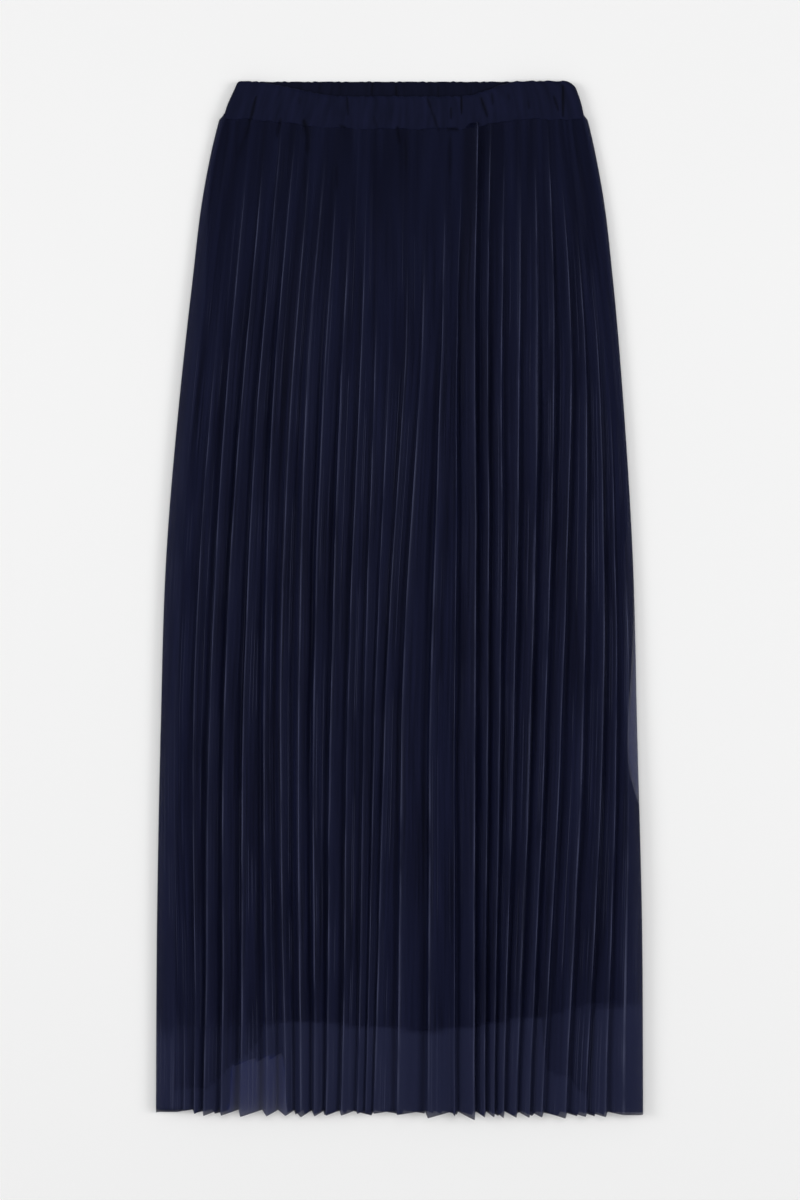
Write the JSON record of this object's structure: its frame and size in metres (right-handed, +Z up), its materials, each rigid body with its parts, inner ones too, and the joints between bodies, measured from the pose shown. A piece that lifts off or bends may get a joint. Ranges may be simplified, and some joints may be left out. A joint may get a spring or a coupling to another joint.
{
  "type": "pleated skirt",
  "caption": "Pleated midi skirt laid flat: a sheer navy mesh layer in narrow pleats over a shorter plain lining, with a gathered elastic waistband.",
  "frame": {"origin": "middle of the table area that the skirt covers, at the table's surface", "axes": "+X across the skirt to the right as its front is seen, +Y from the hem to the waist, +Z up from the table through the layers"},
  "size_m": [0.418, 0.8899, 0.0153],
  "materials": {
    "sheer_mesh": "fine pleated mesh, slightly see-through",
    "lining_cloth": "smooth plain weave",
    "band_cloth": "gathered plain weave"
  },
  "bodies": {
    "root": {"pleated_front": "sheer_mesh", "lining_front": "lining_cloth", "waistband_front": "band_cloth", "pleated_back": "sheer_mesh", "lining_back": "lining_cloth", "waistband_back": "band_cloth"}
  },
  "joints": []
}
